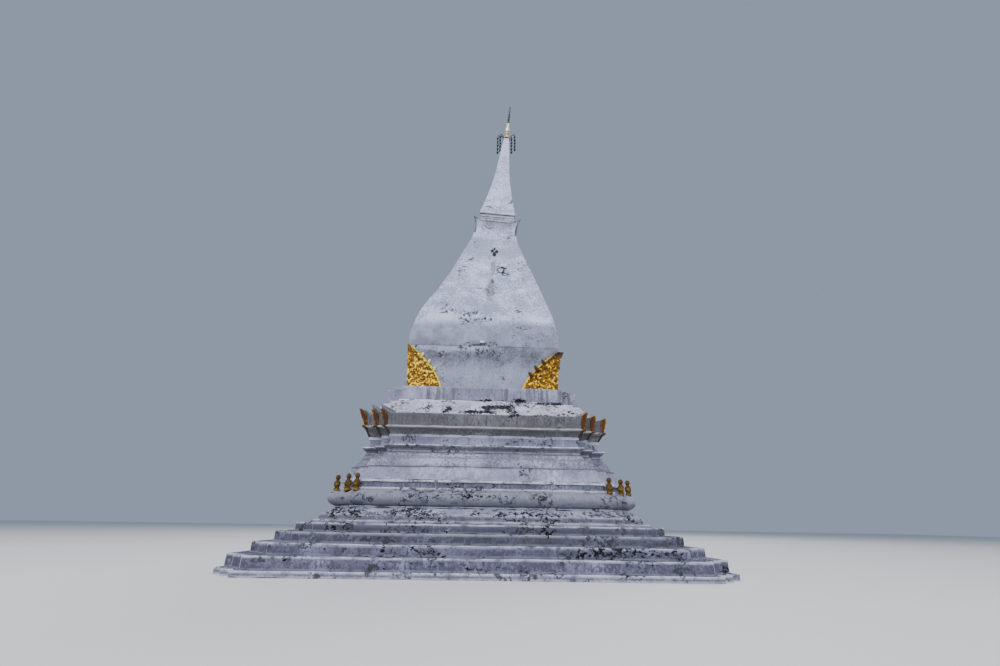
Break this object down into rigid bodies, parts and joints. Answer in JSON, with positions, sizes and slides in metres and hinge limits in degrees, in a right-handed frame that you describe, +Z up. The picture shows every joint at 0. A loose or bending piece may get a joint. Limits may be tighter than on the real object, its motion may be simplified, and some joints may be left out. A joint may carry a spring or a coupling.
{
  "type": "stupa",
  "caption": "Whitewashed brick stupa: stepped square base, redented waisted pedestal with horned rim, square bud-shaped body, concave spire, gilded leaves and an iron parasol.",
  "frame": {"origin": "centre of the base where it meets the ground", "axes": "+Z up, the front faces -Y, +X to the right of the front"},
  "size_m": [10.89, 10.89, 19.19],
  "materials": {
    "limewash": "matt white limewash on plaster over brick, bluish grey, with rain streaks and mould spots",
    "mouldy_limewash": "rough limewash with dense black mould",
    "gold_leaf": "bright gilding over stucco relief",
    "aged_gold": "dark aged gilding",
    "iron": "dark painted iron"
  },
  "bodies": {
    "root": {"ground_step": "limewash", "base_step_lower": "limewash", "base_step_middle": "limewash", "base_step_upper": "limewash", "ledge_step": "limewash", "slab_foot_step": "limewash", "slab": "limewash", "sloped_slab": "limewash", "roll_fillet": "limewash", "roll": "limewash", "dado_fillets": "limewash", "sloping_dado": "limewash", "lower_band": "limewash", "upper_band": "limewash", "lower_cornice": "limewash", "waist": "limewash", "lower_flare": "limewash", "flare_fillet": "limewash", "horned_rim": "limewash", "weathered_slope": "mouldy_limewash", "plinth": "limewash", "bud_bowl": "limewash", "bud_body": "limewash", "bud_neck": "limewash", "collar_steps": "limewash", "spire": "limewash", "finial_skirt": "gold_leaf", "finial_stem": "gold_leaf", "finial_rod": "iron", "parasol": "iron", "corner_leaf_back_right": "gold_leaf", "corner_leaf_back_left": "gold_leaf", "corner_leaf_front_left": "gold_leaf", "corner_leaf_front_right": "gold_leaf", "lotus_bud_back_right_1": "aged_gold", "lotus_bud_back_right_2": "aged_gold", "lotus_bud_back_right_3": "aged_gold", "lotus_bud_back_left_1": "aged_gold", "lotus_bud_back_left_2": "aged_gold", "lotus_bud_back_left_3": "aged_gold", "lotus_bud_front_left_1": "aged_gold", "lotus_bud_front_left_2": "aged_gold", "lotus_bud_front_left_3": "aged_gold", "lotus_bud_front_right_1": "aged_gold", "lotus_bud_front_right_2": "aged_gold", "lotus_bud_front_right_3": "aged_gold"}
  },
  "joints": []
}
